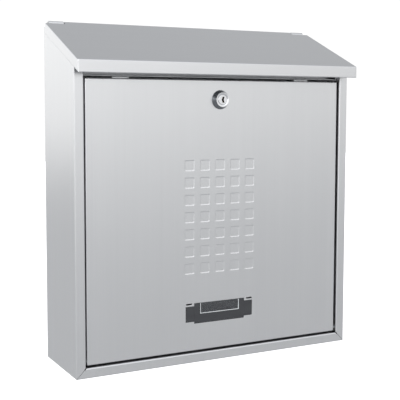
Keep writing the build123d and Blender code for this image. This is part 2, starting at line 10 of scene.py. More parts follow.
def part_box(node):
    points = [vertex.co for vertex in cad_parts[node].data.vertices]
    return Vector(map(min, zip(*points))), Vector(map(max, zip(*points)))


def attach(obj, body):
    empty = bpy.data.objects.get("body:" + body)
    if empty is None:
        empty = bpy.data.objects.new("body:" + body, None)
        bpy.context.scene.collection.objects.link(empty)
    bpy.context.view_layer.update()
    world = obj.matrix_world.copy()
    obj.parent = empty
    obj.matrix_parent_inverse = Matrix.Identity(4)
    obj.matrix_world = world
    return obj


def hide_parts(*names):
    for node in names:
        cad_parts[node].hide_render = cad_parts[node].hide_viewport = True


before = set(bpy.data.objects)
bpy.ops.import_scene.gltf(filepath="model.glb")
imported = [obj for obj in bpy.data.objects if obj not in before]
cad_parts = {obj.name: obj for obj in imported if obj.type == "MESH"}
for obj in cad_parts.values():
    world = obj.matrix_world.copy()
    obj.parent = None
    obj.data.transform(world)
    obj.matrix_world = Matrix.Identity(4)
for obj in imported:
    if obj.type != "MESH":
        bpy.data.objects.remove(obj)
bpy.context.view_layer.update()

bl_info = {
    "name": "Wall letterbox",
    "version": (1, 0, 0),
    "blender": (4, 5, 0),
    "location": "View3D > Sidebar > Letterbox",
    "description": "Finishes and detailed pieces of a wall-mounted stainless letterbox",
    "category": "Object",
}

MM = 0.001
HERE = 0.01 * MM                    # two places closer than this are the same
THROUGH = 1.0 * MM                  # how far a cutter runs past the face that it opens
FOLDED = math.radians(60)           # faces that meet at a steeper angle than this meet in a fold or at a cut
ALONG_X = (0, math.radians(90), 0)  # turns that lay an upright bar down
ALONG_Y = (math.radians(90), 0, 0)


# ---- what a user would change ----
def srgb(code):
    """Linear colour with alpha from an sRGB hex code."""
    channels = [int(code[i : i + 2], 16) / 255 for i in (1, 3, 5)]
    return (*(c / 12.92 if c <= 0.04045 else ((c + 0.055) / 1.055) ** 2.4 for c in channels), 1.0)


def length(name, description, millimetres):
    """A length property with its default in millimetres."""
    return FloatProperty(
        name=name, description=description, default=millimetres * MM, min=0.0, precision=4, unit="LENGTH"
    )


def colour(name, description, code):
    """A colour property with its default as an sRGB hex code."""
    return FloatVectorProperty(
        name=name, description=description, default=srgb(code), size=4, min=0.0, max=1.0, subtype="COLOR"
    )


class LetterboxDoor(bpy.types.PropertyGroup):
    """Sizes of the folded door and its pressed squares."""

    sheet: length("Sheet", "Thickness of the door's sheet", 0.8)
    fold: length("Fold radius", "Outer radius of the folds round the door", 1.5)
    square: length("Square", "Side of a pressed square", 12.0)
    pitch: length("Pitch", "Distance from one square to the next", 20.0)
    corner: length("Corner", "Radius of the squares' corners", 1.3)
    depth: length("Depth", "How deep the squares are pressed", 0.28)
    softness: length("Softness", "Width of the round edges of the pressing", 1.1)
    columns: IntProperty(name="Columns", description="Squares side by side", default=5, min=1, max=7)
    rows: IntProperty(name="Rows", description="Squares one above the other", default=7, min=1, max=9)
    squares_rise: length("Squares' height", "Squares' centre above the door's lower edge", 157.4)
    edge_roll: length("Edge roll", "Round edge that the punch leaves on the openings", 0.3)
    pin_hole: length("Pin hole", "Radius of the holes for the hinge pins", 1.81)


class LetterboxNameplate(bpy.types.PropertyGroup):
    """Sizes of the name plate, its card pocket and the window in the door."""

    window_width: length("Window width", "Width of the window in the door", 67.2)
    window_height: length("Window height", "Height of the window in the door", 24.2)
    window_rise: length("Window's height", "Height of the window's centre above the door's lower edge", 44.1)
    wing_span: length("Wing span", "Width across the two side wings", 89.6)
    wing_height: length("Wing height", "Height of the side wings", 18.4)
    wing_drop: length("Wing drop", "How much lower the wings sit than the window", 0.5)
    clip_width: length("Clip slot width", "Width of the slots for the clips", 7.6)
    clip_height: length("Clip slot height", "Height of the slots for the clips", 1.7)
    clip_offset: length("Clip slot offset", "Distance of the clip slots from the middle", 40.5)
    clip_rise: length("Clip slot rise", "Height of the clip slots above the window's centre", 11.35)
    fit: length("Fit", "Gap between the moulding and the sheet", 0.2)
    flange: length("Flange", "Thickness of the flange behind the door", 1.2)
    flange_corner: length("Flange corner", "Corner radius of the flange", 3.0)
    body_recess: length("Body recess", "How far the moulding lies behind the door's face", 0.3)
    wing_recess: length("Wing recess", "How far the wings lie behind the door's face", 0.5)
    pocket_width: length("Pocket width", "Width over the rim of the card pocket", 53.4)
    pocket_height: length("Pocket height", "Height over the rim of the card pocket", 13.2)
    rim: length("Rim", "Width of the rim round the card pocket", 0.6)
    pocket_recess: length("Pocket recess", "How far the pocket's floor lies behind the door's face", 0.4)
    highlight_bead: length("Bead", "Width of the bright bead round the clear cover", 0.6)
    edge: length("Edge", "Round edge of the mouldings", 0.12)


class LetterboxLock(bpy.types.PropertyGroup):
    """Sizes of the cylinder lock's head, barrel and turning plug."""

    face_radius: length("Face radius", "Radius of the lock's front face", 8.35)
    plug_radius: length("Plug radius", "Radius of the turning plug", 5.8)
    groove: length("Groove", "Depth of the groove round the plug", 0.5)
    barrel_radius: length("Barrel radius", "Radius of the threaded barrel", 9.0)
    barrel_flats: length("Flats", "Distance across the barrel's two flats", 16.0)
    thread_pitch: length("Thread pitch", "Distance from one thread to the next", 1.5)
    thread_depth: length("Thread depth", "Depth of the thread", 0.6)
    thread_start: length("Thread start", "Where the thread starts, behind the door's face", 1.3)
    play: length("Play", "Gap round the plug, and round the barrel in its hole", 0.06)
    flat_play: length("Play at the flats", "Gap between the flats and the hole in the door", 0.12)
    plug_overhang: length("Plug overhang", "How far the plug's round part stands out of the barrel", 0.3)
    key_width: length("Keyway width", "Width of the keyway", 2.6)
    key_height: length("Keyway height", "Height of the keyway", 6.8)
    key_left: length("Keyway's left edge", "Left edge of the keyway's ends, from the lock's axis", 0.3)
    key_kink: length("Keyway kink", "How far the keyway bends to the left", 1.1)
    key_depth: length("Keyway depth", "Depth of the keyway", 15.0)
    wafers: IntProperty(name="Wafers", description="Slots for wafers in the plug", default=5, min=2, max=6)
    wafer: length("Wafer", "Thickness of a wafer", 0.8)
    wafer_gap: length("Wafer gap", "Gap round a wafer in its slot", 0.1)
    tail: length("Tail", "Side of the square tail that carries the cam", 6.0)
    screw_hole: length("Screw hole", "Radius of the hole for the cam's screw", 1.52)
    screw_end: length("Screw end", "Depth left in the hole beyond the screw's end", 0.4)
    edge: length("Edge", "Round edge of the turned parts", 0.3)


class LetterboxBumpers(bpy.types.PropertyGroup):
    """Sizes of the two soft domes under the lid."""

    radius: length("Radius", "Radius of a dome", 4.0)
    height: length("Height", "Height of a dome", 0.7)
    slope: FloatProperty(
        name="Slope", description="Slope of the sheet under the domes", default=math.radians(23.2),
        subtype="ANGLE",
    )


class LetterboxFinish(bpy.types.PropertyGroup):
    """Colours of the letterbox's materials."""

    steel_dark: colour("Steel, dark lines", "Darkest lines of the satin steel", "#D8D9DB")
    steel_light: colour("Steel, light lines", "Lightest lines of the satin steel", "#DBDCDE")
    wire: colour("Wire", "Drawn steel wire", "#B9BABA")
    chrome: colour("Chrome", "Bright chrome of the lock's face", "#DFE0E3")
    # Painted shade: a darker copy of the chrome for the lock's cone, standing in for the dark reflections on
    # it.
    shaded_flank: colour("Lock flank", "Thin plating on the cone of the lock", "#85888C")
    zinc_dark: colour("Zinc, dark", "Dull patches of the zinc plate", "#A9AEB2")
    zinc_light: colour("Zinc, light", "Bright patches of the zinc plate", "#C9CCCB")
    brass: colour("Brass", "Brass wafers of the lock", "#D9B978")
    # Painted shade: near-black colour for the walls of the keyway and the wafer slots, standing in for the
    # shade inside them.
    keyway: colour("Keyway", "Greased brass inside the keyway", "#14110E")
    smoke_dark: colour("Smoke, dark", "Darkest swirls of the smoke-grey plastic", "#35363A")
    smoke_light: colour("Smoke, light", "Lightest swirls of the smoke-grey plastic", "#3B3D40")
    cover: colour("Cover", "Clear cover of the card pocket", "#8A8E92")
    # Painted highlight: near-white colour of the cover's bead, standing in for the glint along the pocket's
    # edges.
    highlight_bead: colour("Bead", "Frosted bead of the clear cover", "#E6E9EB")
    rubber_dark: colour("Bumper, dark", "Dusty patches of the bumpers", "#9A9C9D")
    rubber_light: colour("Bumper, light", "Clean patches of the bumpers", "#C9CBCB")


class LetterboxStudio(bpy.types.PropertyGroup):
    """The floor and the light round the letterbox."""

    floor: colour("Floor", "Colour of the floor as the letterbox mirrors it", "#CACACA")
    floor_depth: length("Floor depth", "How far the floor lies below the wall holes' centre", 420.0)
    surround: FloatProperty(name="Surround", description="Even light from all sides", default=0.1, min=0.0)
    low_light: colour("Low light", "Tint of the light near the horizon", "#FEFEFD")
    high_light: colour("High light", "Tint of the light overhead", "#FAFCFF")


# ---- modelling ----
def alone(piece):
    """Makes one piece the active object and the only selected one."""
    bpy.ops.object.select_all(action="DESELECT")
    bpy.context.view_layer.objects.active = piece
    piece.select_set(True)


def start_piece(name, add, **settings):
    """Adds a primitive by its operator, names it and moves its place into its mesh."""
    bpy.ops.object.select_all(action="DESELECT")
    add(**settings)
    piece = bpy.context.object
    piece.name = name
    bpy.ops.object.transform_apply(location=True, rotation=True, scale=True)
    return piece


def block(name, low, high):
    """A box between two corners."""
    low, high = Vector(low), Vector(high)
    return start_piece(
        name, bpy.ops.mesh.primitive_cube_add, size=1, location=(low + high) / 2, scale=high - low
    )


def bar(name, centre, radius, height, turn, sides=72):
    """A round bar, turned from upright."""
    return start_piece(
        name, bpy.ops.mesh.primitive_cylinder_add, vertices=sides, radius=radius, depth=height,
        location=centre, rotation=turn,
    )


@contextmanager
def editing(piece):
    """Edit mode on one piece, with all of it selected."""
    alone(piece)
    bpy.ops.object.mode_set(mode="EDIT")
    bpy.ops.mesh.select_all(action="SELECT")
    yield
    bpy.ops.object.mode_set(mode="OBJECT")


def pick(kind, test):
    """In edit mode, selects only the vertices, edges or faces that pass a test."""
    bpy.ops.mesh.select_mode(type=kind)
    bpy.ops.mesh.select_all(action="DESELECT")
    mesh = bpy.context.object.data
    shape = bmesh.from_edit_mesh(mesh)
    parts = {"VERT": shape.verts, "EDGE": shape.edges, "FACE": shape.faces}[kind]
    found = [part for part in parts if test(part)]
    if not found:
        raise RuntimeError(f"nothing to select on {bpy.context.object.name}")
    for part in found:
        part.select_set(True)
    shape.select_flush_mode()
    bmesh.update_edit_mesh(mesh)


def same(value, place):
    """Whether two coordinates are the same, but for rounding."""
    return abs(value - place) < HERE


def all_at(edge, axis, place):
    """Whether both ends of an edge lie at one place along an axis, numbered 0 to 2."""
    return all(same(vert.co[axis], place) for vert in edge.verts)


def smoothed(part):
    """Smooth step from 0 to 1."""
    return part * part * (3 - 2 * part)


def push(*step):
    """Extrudes what is selected by a step."""
    bpy.ops.mesh.extrude_region_move(TRANSFORM_OT_translate={"value": step})


def score(axis, *places):
    """In edit mode, divides every face along planes square to an axis, numbered 0 to 2."""
    for place in places:
        point, direction = Vector(), Vector()
        point[axis] = place
        direction[axis] = 1
        bpy.ops.mesh.select_all(action="SELECT")
        bpy.ops.mesh.bisect(plane_co=point, plane_no=direction)


def tidy_normals():
    """Merges doubles and turns every face outwards."""
    bpy.ops.mesh.select_all(action="SELECT")
    bpy.ops.mesh.remove_doubles(threshold=HERE / 2)
    bpy.ops.mesh.normals_make_consistent(inside=False)


def apply_modifier(piece, kind, **settings):
    """Adds a modifier with its settings and applies it."""
    alone(piece)
    modifier = piece.modifiers.new(kind.title(), kind)
    for field, value in settings.items():
        setattr(modifier, field, value)
    bpy.ops.object.modifier_apply(modifier=modifier.name)


def combine(piece, other, operation):
    """Cuts with another piece, or joins it on, and removes it."""
    apply_modifier(
        piece, "BOOLEAN", object=other, operation=operation, solver="EXACT", material_mode="TRANSFER"
    )
    bpy.data.objects.remove(other, do_unlink=True)


def round_edges(piece, width, segments, angle):
    """Rounds every edge that is sharper than an angle in degrees."""
    apply_modifier(
        piece, "BEVEL", width=width, segments=segments, limit_method="ANGLE", angle_limit=math.radians(angle)
    )


def smooth(piece, angle):
    """Smooth shading over edges flatter than an angle in degrees, with the flat faces kept flat."""
    alone(piece)
    bpy.ops.object.shade_smooth_by_angle(angle=math.radians(angle))
    apply_modifier(piece, "WEIGHTED_NORMAL", keep_sharp=True)


def hand_over(piece, body, slot, *nodes):
    """Puts a finished piece on its body in place of its CAD nodes."""
    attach(piece, body)
    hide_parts(*nodes)


def coat(piece, *materials):
    """Gives a new piece its materials, the first one all over."""
    piece.data.materials.clear()
    for material in materials:
        piece.data.materials.append(material)


def dress(material, *nodes):
    """Gives CAD nodes a material in place of their own."""
    for name in nodes:
        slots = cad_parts[name].material_slots
        if not slots:
            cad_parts[name].data.materials.append(material)
        for slot in slots:
            slot.material = material


# ---- materials ----
def add_node(tree, kind, values=None, links=None, **settings):
    """Adds a node; settings are its own fields, values and links go to its inputs by name or number."""
    node = tree.nodes.new(kind)
    for field, value in settings.items():
        setattr(node, field, value)
    for socket, value in (values or {}).items():
        node.inputs[socket].default_value = value
    for socket, source in (links or {}).items():
        tree.links.new(source, node.inputs[socket])
    return node


def new_material(name):
    """An empty node material, its tree and the place on the object."""
    material = bpy.data.materials.new(name)
    material.use_nodes = True
    material.node_tree.nodes.clear()
    tree = material.node_tree
    return material, tree, add_node(tree, "ShaderNodeTexCoord").outputs["Object"]


def fine_noise(tree, place, size, detail):
    """Noise with features of a size in millimetres, the same in all directions."""
    values = {"Scale": 1 / (size * MM), "Detail": detail}
    return add_node(tree, "ShaderNodeTexNoise", values, {"Vector": place})


def stretched_noise(tree, place, grain_axis, across, along, **values):
    """Noise drawn out along one axis: across and along are its feature sizes in millimetres."""
    sizes = [across * MM] * 3
    sizes["XYZ".index(grain_axis)] = along * MM
    scale = [1 / size for size in sizes]
    stretched = add_node(tree, "ShaderNodeMapping", {"Scale": scale}, {"Vector": place})
    return add_node(tree, "ShaderNodeTexNoise", {"Scale": 1.0, **values}, {"Vector": stretched.outputs[0]})


def spread(tree, source, least, most, start=0.0, end=1.0):
    """Maps a texture from its range to another, such as a roughness."""
    values = {"From Min": start, "From Max": end, "To Min": least, "To Max": most}
    return add_node(tree, "ShaderNodeMapRange", values, {"Value": source.outputs[0]}).outputs[0]


def two_tones(tree, source, start, end, first, second):
    """A ramp from one colour to another over a range of its source."""
    ramp = add_node(tree, "ShaderNodeValToRGB", links={"Fac": source})
    for element, position, tone in zip(ramp.color_ramp.elements, (start, end), (first, second)):
        element.position = position
        element.color = tone
    return ramp.outputs["Color"]


def relief(tree, source, strength, height):
    """A bump from a texture, with its height in millimetres."""
    values = {"Strength": strength, "Distance": height * MM}
    return add_node(tree, "ShaderNodeBump", values, {"Height": source.outputs[0]}).outputs[0]


def close(tree, values, links):
    """Closes a material tree with its shader and its output."""
    shader = add_node(tree, "ShaderNodeBsdfPrincipled", values, links)
    add_node(tree, "ShaderNodeOutputMaterial", links={"Surface": shader.outputs[0]})


def brushed_stainless(name, grain_axis, finish):
    """Cold-rolled stainless sheet with a satin belt finish: a soft grey mirror with fine lines along it.

    The belt leaves scratches of about 0.1 mm; they are drawn 0.9 mm wide so that they still show.
    Slow streaks of 9 mm and handling marks of 70 mm change how sharply it mirrors.
    """
    material, tree, place = new_material(name)
    scratches = stretched_noise(tree, place, grain_axis, 0.9, 160, Detail=3.0, Roughness=0.6)
    streaks = stretched_noise(tree, place, grain_axis, 9, 700, Detail=2.0, Roughness=0.5)
    marks = stretched_noise(tree, place, grain_axis, 70, 110, Detail=4.0, Roughness=0.62)
    grain = add_node(
        tree, "ShaderNodeMix", {"Factor": 0.45}, {2: scratches.outputs[0], 3: streaks.outputs[0]},
        data_type="FLOAT",
    )
    sharpness = spread(tree, grain, 0.30, 0.325, 0.3, 0.7)
    handled = spread(tree, marks, 0.0, 0.03, 0.45, 0.75)
    close(tree, {"Metallic": 1.0}, {
        "Base Color": two_tones(tree, grain.outputs[0], 0.3, 0.7, finish.steel_dark, finish.steel_light),
        "Roughness": add_node(tree, "ShaderNodeMath", links={0: sharpness, 1: handled}).outputs[0],
        "Normal": relief(tree, scratches, 0.025, 0.1),
    })
    return material


def drawn_steel(finish):
    """Cold-drawn steel wire: bright, with faint rings round it from turning in its holes."""
    material, tree, place = new_material("drawn_steel_wire")
    rings = stretched_noise(tree, place, "Y", 0.5, 6, Detail=2.0)
    close(tree, {"Base Color": finish.wire, "Metallic": 1.0}, {
        "Roughness": spread(tree, rings, 0.22, 0.4), "Normal": relief(tree, rings, 0.15, 0.05),
    })
    return material


def chromed_zinc(name, centre, roughness, tone):
    """Chrome on a die-cast zinc lock: a cool mirror with fine turning rings about the lock's axis.

    The cutter leaves rings of about 0.1 mm; they are drawn 0.6 mm apart so that they show.
    """
    material, tree, place = new_material(name)
    centred = add_node(
        tree, "ShaderNodeMapping", {"Location": (-centre.x, 0, -centre.z), "Scale": (1, 0, 1)},
        {"Vector": place},
    )
    rings_apart = 0.6 * MM
    rings = add_node(
        tree, "ShaderNodeTexWave", {"Scale": math.pi / 10 / rings_apart, "Distortion": 0.6, "Detail": 1.0},
        {"Vector": centred.outputs[0]}, wave_type="RINGS", rings_direction="SPHERICAL",
    )
    haze = fine_noise(tree, place, 3, 3.0)
    close(tree, {"Base Color": tone, "Metallic": 1.0}, {
        "Roughness": spread(tree, haze, roughness, 2 * roughness), "Normal": relief(tree, rings, 0.05, 0.03),
    })
    return material


def shaded_keyway_brass(finish):
    """Brass deep inside the keyway, painted near-black: painted shade of the deep keyway and wafer slots."""
    material, tree, place = new_material("keyway_brass_painted_shade")
    smears = fine_noise(tree, place, 0.8, 3.0)
    close(tree, {"Base Color": finish.keyway, "Metallic": 0.3}, {"Roughness": spread(tree, smears, 0.4, 0.7)})
    return material


def zinc_plate(finish):
    """Bright zinc plate on pressed steel: slightly blue, cloudy where the plating bath left it uneven."""
    material, tree, place = new_material("zinc_plated_steel")
    cloud = fine_noise(tree, place, 5, 5.0)
    pits = fine_noise(tree, place, 0.4, 2.0)
    close(tree, {"Metallic": 1.0}, {
        "Base Color": two_tones(tree, cloud.outputs[0], 0.35, 0.65, finish.zinc_dark, finish.zinc_light),
        "Roughness": spread(tree, cloud, 0.25, 0.42), "Normal": relief(tree, pits, 0.12, 0.05),
    })
    return material


def stamped_brass(finish):
    """Half-hard brass strip, stamped into wafers: warm yellow with a dull rolled face."""
    material, tree, place = new_material("stamped_brass_strip")
    rolled = stretched_noise(tree, place, "Z", 0.2, 4, Detail=2.0)
    metal = {"Base Color": finish.brass, "Metallic": 1.0}
    close(tree, metal, {"Roughness": spread(tree, rolled, 0.25, 0.45)})
    return material


def smoked_styrene(finish):
    """Smoke-grey moulded polystyrene: dark and glossy, with a faint flow pattern and fine scuffs."""
    material, tree, place = new_material("smoked_polystyrene")
    flow = stretched_noise(tree, place, "X", 6, 30, Detail=2.0)
    scuffs = fine_noise(tree, place, 0.6, 4.0)
    close(tree, {"IOR": 1.59}, {
        "Base Color": two_tones(tree, flow.outputs[0], 0.3, 0.7, finish.smoke_dark, finish.smoke_light),
        "Roughness": spread(tree, scuffs, 0.13, 0.25), "Normal": relief(tree, scuffs, 0.06, 0.05),
    })
    return material


def clear_acrylic(finish):
    """Clear acrylic strip: see-through with a slightly dusty sheen, drawn as a faint film."""
    material, tree, place = new_material("clear_acrylic_strip")
    dust = fine_noise(tree, place, 2.5, 6.0)
    film = {"Base Color": finish.cover, "IOR": 1.49, "Alpha": 0.03}
    close(tree, film, {"Roughness": spread(tree, dust, 0.05, 0.16)})
    return material


def edge_highlight_acrylic(finish):
    """Near-white painted highlight for the cover's bead: the glint along the card pocket's edges, painted
    into the colour.
    """
    material, tree, place = new_material("acrylic_edge_painted_highlight")
    grit = fine_noise(tree, place, 0.3, 2.0)
    close(tree, {"Base Color": finish.highlight_bead, "IOR": 1.49}, {"Roughness": spread(tree, grit, 0.3, 0.5)})
    return material


def soft_rubber(finish):
    """Clear polyurethane bumper: milky, soft edged, with a dusty surface."""
    material, tree, place = new_material("polyurethane_bumper")
    dust = fine_noise(tree, place, 1.2, 4.0)
    tone = two_tones(tree, dust.outputs[0], 0.0, 1.0, finish.rubber_dark, finish.rubber_light)
    close(tree, {"Roughness": 0.5, "IOR": 1.5, "Subsurface Weight": 0.15}, {"Base Color": tone})
    return material


# ---- stage ----
# Each glow is a soft bright patch of the studio: name, direction, how narrow it is (0 to 1), strength.
GLOWS = (
    ("ahead", (0.26, -0.96, 0.04), 0.80, 0.60),
    ("overhead", (0.44, 0.54, 0.71), 0.60, 0.31),
    ("behind_left", (-0.42, 0.90, -0.04), 0.75, 1.0),
    ("behind_right", (0.50, 0.86, 0.05), 0.80, 0.30),
    ("left", (-0.95, -0.20, 0.00), 0.60, 1.05),
    ("right", (0.96, -0.25, 0.05), 0.80, 0.55),
    ("above", (-0.20, -0.55, 0.81), 0.60, 0.84),
    ("ahead_left", (-0.10, -0.98, 0.00), 0.85, 0.42),
)

# Each soft light: name, place, what it points at, size, watts.
SOFTBOXES = (
    ("fill", (-2.2, -0.6, 1.2), (0, -0.05, 0), 1.6, 6.0),
    ("rim", (-1.0, 2.2, 0.8), (-0.18, -0.05, 0.05), 1.2, 0.3),
)

# For the camera alone, the surround and the floor are lifted to white.
SURROUND_WHITE = 1.05
FLOOR_LIFT = 0.9
FLOOR_WIDTH = 14                            # metres

CAMERA_PLACE = (-0.4944, -0.9898, 0.1101)   # metres
CAMERA_YAW = math.radians(27.67)            # to the right of straight at the wall
CAMERA_TILT = math.radians(4.68)            # downwards
CAMERA_ROLL = math.radians(0.13)
CAMERA_LENS = 78.705                        # mm, on a sensor 36 mm wide
CAMERA_SHIFT = -0.05775                     # upright, as a part of the picture's width


def studio_world(studio):
    """A white surround for the camera, and even light with soft glows for the object."""
    world = bpy.data.worlds.new("studio")
    world.use_nodes = True
    tree = world.node_tree
    tree.nodes.clear()
    towards = add_node(tree, "ShaderNodeTexCoord").outputs["Generated"]
    total = None
    for name, direction, narrow, strength in GLOWS:
        unit = Vector(direction).normalized()
        facing = add_node(
            tree, "ShaderNodeVectorMath", {1: unit}, {0: towards}, operation="DOT_PRODUCT", label=name
        )
        glow = add_node(
            tree, "ShaderNodeMapRange", {"From Min": 2 * narrow - 1, "From Max": 1.0, "To Max": strength},
            {"Value": facing.outputs["Value"]}, interpolation_type="SMOOTHSTEP", name=name,
        )
        total = add_node(
            tree, "ShaderNodeMath", {} if total else {1: studio.surround},
            {0: glow.outputs[0], **({1: total} if total else {})}, name="sum_" + name,
        ).outputs[0]
    height = add_node(tree, "ShaderNodeSeparateXYZ", links={0: towards}).outputs["Z"]
    tint = two_tones(tree, height, 0.2, 0.7, studio.low_light, studio.high_light)
    light = add_node(tree, "ShaderNodeBackground", links={"Color": tint, "Strength": total}, name="light")
    seen = add_node(tree, "ShaderNodeBackground", {"Color": (1, 1, 1, 1), "Strength": SURROUND_WHITE})
    looks = add_node(tree, "ShaderNodeLightPath").outputs["Is Camera Ray"]
    mix = add_node(tree, "ShaderNodeMixShader", links={0: looks, 1: light.outputs[0], 2: seen.outputs[0]})
    add_node(tree, "ShaderNodeOutputWorld", links={"Surface": mix.outputs[0]})
    return world


class LETTERBOX_OT_stage(bpy.types.Operator):
    """Adds the pale floor, the soft lights and the camera"""

    bl_idname = "letterbox.stage"
    bl_label = "Stage"

    def execute(self, context):
        studio = context.scene.letterbox_studio
        floor = start_piece(
            "floor", bpy.ops.mesh.primitive_plane_add, size=FLOOR_WIDTH, location=(0, 0, -studio.floor_depth)
        )
        material, tree, _ = new_material("matt_white_floor")
        matt = add_node(tree, "ShaderNodeBsdfDiffuse", {"Color": studio.floor})
        looks = add_node(tree, "ShaderNodeLightPath").outputs["Is Camera Ray"]
        lift = add_node(tree, "ShaderNodeMath", {1: FLOOR_LIFT}, {0: looks}, operation="MULTIPLY")
        glow = add_node(tree, "ShaderNodeEmission", {"Color": (1, 1, 1, 1)}, {"Strength": lift.outputs[0]})
        both = add_node(tree, "ShaderNodeAddShader", links={0: matt.outputs[0], 1: glow.outputs[0]})
        add_node(tree, "ShaderNodeOutputMaterial", links={"Surface": both.outputs[0]})
        floor.data.materials.append(material)
        context.scene.world = studio_world(studio)
        for name, place, target, size, power in SOFTBOXES:
            lamp = bpy.data.lights.new(name, "AREA")
            lamp.shape = "DISK"
            lamp.size = size
            lamp.energy = power
            light = bpy.data.objects.new(name, lamp)
            context.scene.collection.objects.link(light)
            light.location = place
            light.rotation_mode = "QUATERNION"
            light.rotation_quaternion = (Vector(target) - Vector(place)).to_track_quat("-Z", "Y")
        forward = Vector((
            math.sin(CAMERA_YAW) * math.cos(CAMERA_TILT), math.cos(CAMERA_YAW) * math.cos(CAMERA_TILT),
            -math.sin(CAMERA_TILT),
        ))
        right = Vector((math.cos(CAMERA_YAW), -math.sin(CAMERA_YAW), 0))
        up = right.cross(forward)
        turned_right = right * math.cos(CAMERA_ROLL) + up * math.sin(CAMERA_ROLL)
        turned_up = up * math.cos(CAMERA_ROLL) - right * math.sin(CAMERA_ROLL)
        turn = Matrix((turned_right, turned_up, -forward)).transposed().to_4x4()
        camera = bpy.data.cameras.new("camera")
        view = bpy.data.objects.new("camera", camera)
        context.scene.collection.objects.link(view)
        view.matrix_world = Matrix.Translation(Vector(CAMERA_PLACE)) @ turn
        camera.lens = CAMERA_LENS
        camera.shift_y = CAMERA_SHIFT
        context.scene.camera = view
        context.scene.view_settings.view_transform = "Standard"
        return {"FINISHED"}


# ---- pieces ----
class LETTERBOX_OT_sheet_metal(bpy.types.Operator):
    """Gives the casing, the lid and the inner sheets their satin finish, each with its own grain"""

    bl_idname = "letterbox.sheet_metal"
    bl_label = "Casing and lid"

    def execute(self, context):
        finish = context.scene.letterbox_finish
        dress(brushed_stainless("satin_stainless_upright", "Z", finish), "casing_shell", "back_panel")
        dress(brushed_stainless("satin_stainless_across", "X", finish), "top_rail", "slot_plate", "lid")
        return {"FINISHED"}


class LETTERBOX_OT_door(bpy.types.Operator):
    """Folds the door from one sheet, with its pressed squares and its openings"""

    bl_idname = "letterbox.door"
    bl_label = "Door"

    def execute(self, context):
        scene = context.scene
        sizes = scene.letterbox_door
        low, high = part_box("door")
        first = Vector((
            -sizes.pitch * (sizes.columns - 1) / 2, low.y,
            low.z + sizes.squares_rise - sizes.pitch * (sizes.rows - 1) / 2,
        ))
        door = start_piece(
            "door_panel", bpy.ops.mesh.primitive_plane_add, size=sizes.pitch, location=first,
            rotation=ALONG_Y,
        )

        def inner(face):
            return (face.calc_center_median() - first).xz.length < sizes.pitch / 10

        with editing(door):
            # The wall of the pressing is an S, steepest half way down.
            run = sizes.depth + sizes.softness
            bpy.ops.mesh.inset(thickness=(sizes.pitch - sizes.square - sizes.softness) / 2)
            bpy.ops.mesh.bevel(affect="VERTICES", offset=sizes.corner + run / 2, segments=5)
            pick("FACE", inner)
            steps = 6
            fallen = [sizes.depth * smoothed(step / steps) for step in range(steps + 1)]
            for above, below in zip(fallen, fallen[1:]):
                bpy.ops.mesh.inset(thickness=run / steps, depth=above - below)
        for axis, count in ((0, sizes.columns), (2, sizes.rows)):
            step = [0.0, 0.0, 0.0]
            step[axis] = sizes.pitch
            apply_modifier(
                door, "ARRAY", count=count, use_relative_offset=False, use_constant_offset=True,
                constant_offset_displace=step, use_merge_vertices=True, merge_threshold=HERE,
            )
        with editing(door):
            # The rest of the face, out to the folds, and then the flanges.
            for axis in (0, 2):
                for side in (low, high):
                    places = [v.co[axis] for v in bmesh.from_edit_mesh(door.data).verts]
                    border = max(places) if side is high else min(places)
                    pick("EDGE", lambda edge: edge.is_boundary and all_at(edge, axis, border))
                    step = [0.0, 0.0, 0.0]
                    step[axis] = side[axis] - border
                    push(*step)
            pick("EDGE", lambda edge: edge.is_boundary)
            push(0, high.y - low.y, 0)
            pick("EDGE", lambda edge: edge.is_manifold and edge.calc_face_angle() > FOLDED)
            bpy.ops.mesh.bevel(affect="EDGES", offset=sizes.fold, segments=5)
            tidy_normals()
        apply_modifier(door, "SOLIDIFY", thickness=sizes.sheet, offset=-1, use_even_offset=True)
        self.punch(door, sizes, scene.letterbox_nameplate, scene.letterbox_lock, low, high)
        with editing(door):
            pick("EDGE", lambda edge: all_at(edge, 1, low.y) and edge.calc_face_angle(0) > FOLDED)
            bpy.ops.mesh.bevel(affect="EDGES", offset=sizes.edge_roll, segments=3)
        smooth(door, 30)
        coat(door, bpy.data.materials["satin_stainless_upright"])
        hand_over(door, "door", "stainless_sheet", "door")
        return {"FINISHED"}

    def punch(self, door, sizes, plate, lock, low, high):
        """Cuts the window with its wings and clip slots, the lock's hole and the holes of the hinge pins."""
        middle = low.z + plate.window_rise
        openings = [
            (0, middle, plate.window_width, plate.window_height),
            (0, middle - plate.wing_drop, plate.wing_span, plate.wing_height),
        ]
        openings += [
            (side * plate.clip_offset, middle + plate.clip_rise, plate.clip_width, plate.clip_height)
            for side in (-1, 1)
        ]
        front, rear = low.y - THROUGH, low.y + sizes.sheet + THROUGH
        for x, z, width, height in openings:
            cutter = block(
                "window", (x - width / 2, front, z - height / 2), (x + width / 2, rear, z + height / 2)
            )
            combine(door, cutter, "DIFFERENCE")
        nut_low, nut_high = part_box("lock_nut")
        axis = (nut_low + nut_high) / 2
        cutter = bar(
            "lock_hole", (axis.x, (front + rear) / 2, axis.z), lock.barrel_radius + lock.play, rear - front,
            ALONG_Y,
        )
        with editing(cutter):
            for side in (-1, 1):
                bpy.ops.mesh.select_all(action="SELECT")
                bpy.ops.mesh.bisect(
                    plane_co=(axis.x, axis.y, axis.z + side * (lock.barrel_flats / 2 + lock.flat_play)),
                    plane_no=(0, 0, side), clear_outer=True, use_fill=True,
                )
        combine(door, cutter, "DIFFERENCE")
        pin_low, pin_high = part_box("door_hinge_pin_left")
        pin = (pin_low + pin_high) / 2
        across = high.x - low.x + 2 * THROUGH
        cutter = bar("pin_holes", (0, pin.y, pin.z), sizes.pin_hole, across, ALONG_X, 32)
        combine(door, cutter, "DIFFERENCE")


